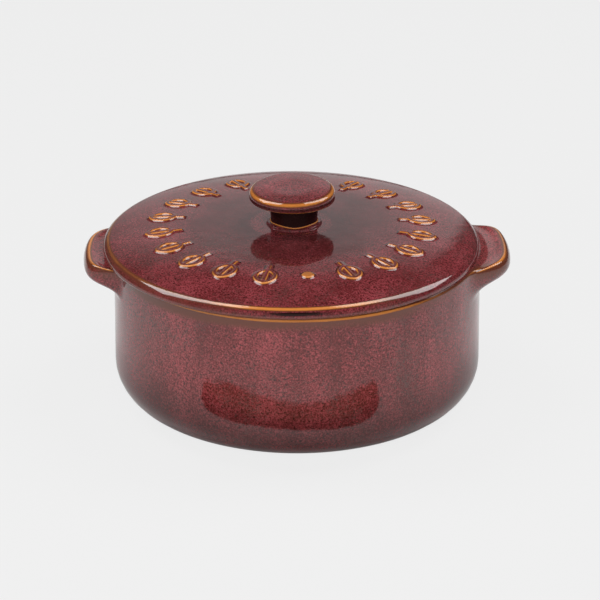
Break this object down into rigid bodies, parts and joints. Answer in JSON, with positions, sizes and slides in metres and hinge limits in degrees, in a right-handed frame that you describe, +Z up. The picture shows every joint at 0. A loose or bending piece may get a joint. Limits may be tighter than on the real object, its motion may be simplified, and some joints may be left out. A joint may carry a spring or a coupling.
{
  "type": "cheese baker",
  "caption": "Round glazed stoneware baker for a soft cheese: a deep dish with lug handles, and a domed lid with a knob and a ring of raised leaves.",
  "frame": {"origin": "on the surface that the dish stands on, on the dish's axis", "axes": "+Z up through the knob, +X along the line from one lug handle to the other, -Y towards the viewer"},
  "size_m": [0.173, 0.1522, 0.0899],
  "materials": {
    "dish_glaze": "glossy crimson glaze with fine pink and brown flecks that breaks to amber on the edges",
    "lid_glaze": "glossy crimson glaze with fine pink and brown flecks that breaks to amber on the edges and on the raised leaves"
  },
  "bodies": {
    "root": {"dish": "dish_glaze", "lid": "lid_glaze"}
  },
  "joints": []
}
